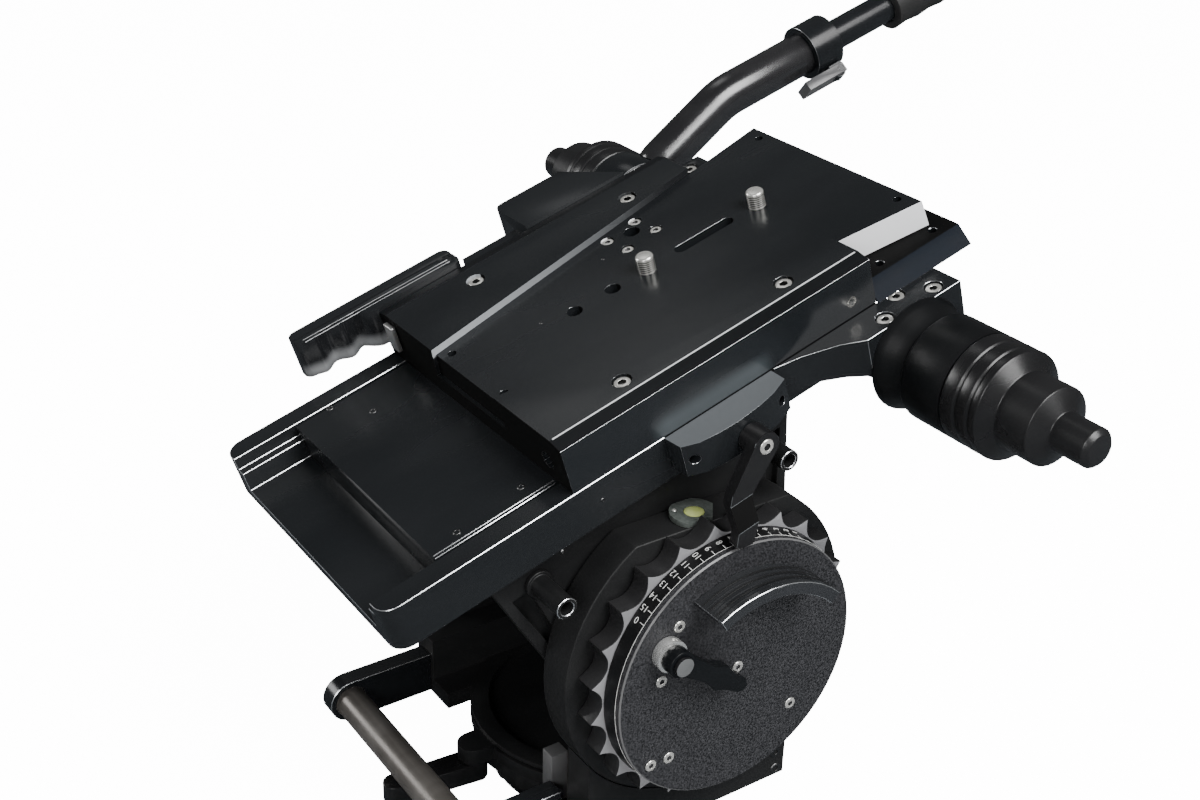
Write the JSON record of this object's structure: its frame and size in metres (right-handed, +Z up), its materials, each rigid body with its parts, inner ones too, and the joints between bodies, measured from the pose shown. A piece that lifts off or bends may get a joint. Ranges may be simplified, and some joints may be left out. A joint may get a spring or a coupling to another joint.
{
  "type": "fluid video head",
  "caption": "Fluid video head: clamp base, panning casting, tilting cradle with a numbered counterbalance dial, sliding camera platform with a wedge plate, and a telescopic pan handle.",
  "frame": {"origin": "on the pan axis, at the underside of the base flange", "axes": "+Z up along the pan axis, -Y where the lens looks, +Y towards the operator, +X along the tilt axis towards the numbered dial"},
  "size_m": [0.4504, 0.6054, 0.4158],
  "materials": {
    "black_anodised": "black anodised, satin",
    "black_casting": "black fine-textured paint on cast aluminium",
    "black_plastic": "black moulded, matt",
    "grey_plastic": "dark grey moulded",
    "steel": "turned and polished",
    "chrome": "bright plated",
    "light_metal": "clear anodised, light silver",
    "rubber": "black foam-like rubber",
    "level_glass": "yellow-green spirit level"
  },
  "bodies": {
    "base": {"base_flange": "black_anodised", "pan_spindle": "steel"},
    "pan_drag": {"pan_drag_ring": "black_plastic"},
    "pan_casting": {"pan_body": "black_casting", "dial_housing": "black_casting", "far_housing": "black_casting", "far_cover": "black_anodised", "bubble_bezel": "light_metal", "bubble_vial": "level_glass", "floor_block": "light_metal", "carry_arm_left": "black_anodised", "carry_arm_right": "black_anodised", "carry_tube": "steel"},
    "pan_brake": {"pan_brake_lever": "black_plastic"},
    "tilt_brake": {"tilt_brake_lever": "black_plastic"},
    "tilt_drag": {"tilt_drag_ring": "black_plastic"},
    "dial": {"dial_disc": "black_casting", "scale_ring": "black_anodised", "dial_grip": "black_plastic", "dial_lock_boss": "chrome"},
    "dial_lock": {"dial_lock_lever": "black_plastic"},
    "cradle": {"cradle_near": "black_anodised", "cradle_far": "black_anodised", "spring_drum": "black_casting", "tilt_stub_near": "steel", "tilt_stub_far": "steel", "stop_post_near_front": "black_anodised", "stop_post_near_rear": "black_anodised", "stop_post_far_front": "black_anodised", "stop_post_far_rear": "black_anodised", "tray": "black_anodised", "tray_lug_near": "black_anodised", "tray_lug_far": "black_anodised", "rear_arm_near": "black_anodised", "rear_arm_far": "black_anodised", "handle_mount_near": "black_anodised", "handle_mount_far": "black_anodised"},
    "slide_lock": {"slide_lock_lever": "black_anodised"},
    "knob_near": {"mount_knob_near": "black_plastic"},
    "knob_far": {"mount_knob_far": "black_plastic"},
    "handle": {"handle_ring": "black_anodised", "pan_handle": "black_anodised", "handle_collar": "black_anodised"},
    "collar_clamp": {"collar_lever": "grey_plastic"},
    "handle_extension": {"handle_inner": "black_anodised", "handle_grip": "rubber", "grip_cap": "black_plastic"},
    "platform": {"dovetail_plate": "black_anodised", "adaptor_body": "black_anodised", "rear_base": "black_anodised", "lever_housing": "black_anodised", "clamp_bracket": "light_metal"},
    "clamp": {"clamp_lever": "black_anodised"},
    "wedge": {"wedge_plate": "black_anodised"},
    "screw_front": {"camera_screw_front": "steel"},
    "screw_rear": {"camera_screw_rear": "steel"}
  },
  "joints": [
    {"name": "pan_drag_turn", "type": "hinge", "parent": "base", "child": "pan_drag", "pos_m": [0, 0, 0], "axis": [0, 0, 1], "range_deg": [-105, 105]},
    {"name": "pan_turn", "type": "hinge", "parent": "base", "child": "pan_casting", "pos_m": [0, 0, 0], "axis": [0, 0, 1], "continuous": true},
    {"name": "pan_brake_turn", "type": "hinge", "parent": "pan_casting", "child": "pan_brake", "pos_m": [-0.00138, -0.07899, 0], "axis": [0, 0, 1], "range_deg": [-25, 25]},
    {"name": "tilt_brake_turn", "type": "hinge", "parent": "pan_casting", "child": "tilt_brake", "pos_m": [0, 0, 0.135], "axis": [1, 0, 0], "range_deg": [-40, 20]},
    {"name": "tilt_drag_turn", "type": "hinge", "parent": "pan_casting", "child": "tilt_drag", "pos_m": [0, 0, 0.135], "axis": [1, 0, 0], "range_deg": [-105, 105]},
    {"name": "dial_turn", "type": "hinge", "parent": "pan_casting", "child": "dial", "pos_m": [0, 0, 0.135], "axis": [1, 0, 0], "range_deg": [-50, 34]},
    {"name": "dial_lock_turn", "type": "hinge", "parent": "dial", "child": "dial_lock", "pos_m": [0.13, -0.045, 0.162], "axis": [1, 0, 0], "range_deg": [-60, 0]},
    {"name": "tilt", "type": "hinge", "parent": "pan_casting", "child": "cradle", "pos_m": [0, 0, 0.135], "axis": [1, 0, 0], "range_deg": [-92, 50]},
    {"name": "slide_lock_turn", "type": "hinge", "parent": "cradle", "child": "slide_lock", "pos_m": [0.113, 0.01276, 0.25209], "axis": [1, 0, 0], "range_deg": [-60, 0]},
    {"name": "knob_near_turn", "type": "hinge", "parent": "cradle", "child": "knob_near", "pos_m": [0.17, 0.11496, 0.27031], "axis": [1, 0, 0], "continuous": true},
    {"name": "knob_far_turn", "type": "hinge", "parent": "cradle", "child": "knob_far", "pos_m": [-0.17, 0.11496, 0.27031], "axis": [1, 0, 0], "continuous": true},
    {"name": "handle_swing", "type": "hinge", "parent": "cradle", "child": "handle", "pos_m": [-0.1389, 0.11496, 0.27031], "axis": [1, 0, 0], "range_deg": [-60, 75]},
    {"name": "collar_lever_turn", "type": "hinge", "parent": "handle", "child": "collar_clamp", "pos_m": [-0.1237, 0.25747, 0.33334], "axis": [0.7071, -0.2103, 0.6751], "range_deg": [0, 80]},
    {"name": "handle_extend", "type": "slide", "parent": "handle", "child": "handle_extension", "axis": [0, 0.9548, 0.2974], "range_m": [0, 0.04]},
    {"name": "platform_slide", "type": "slide", "parent": "cradle", "child": "platform", "axis": [0, 0.9548, 0.2974], "range_m": [-0.05, 0.1]},
    {"name": "clamp_lever_swing", "type": "hinge", "parent": "platform", "child": "clamp", "pos_m": [-0.098, -0.0331, 0.26818], "axis": [0, -0.2974, 0.9548], "range_deg": [-75, 0]},
    {"name": "wedge_slide", "type": "slide", "parent": "platform", "child": "wedge", "axis": [0, 0.9548, 0.2974], "range_m": [0, 0.05]},
    {"name": "screw_front_turn", "type": "hinge", "parent": "wedge", "child": "screw_front", "pos_m": [-0.002, 0.0295, 0.29082], "axis": [0, -0.2974, 0.9548], "continuous": true},
    {"name": "screw_rear_turn", "type": "hinge", "parent": "wedge", "child": "screw_rear", "pos_m": [-0.002, 0.0992, 0.31253], "axis": [0, -0.2974, 0.9548], "continuous": true}
  ]
}
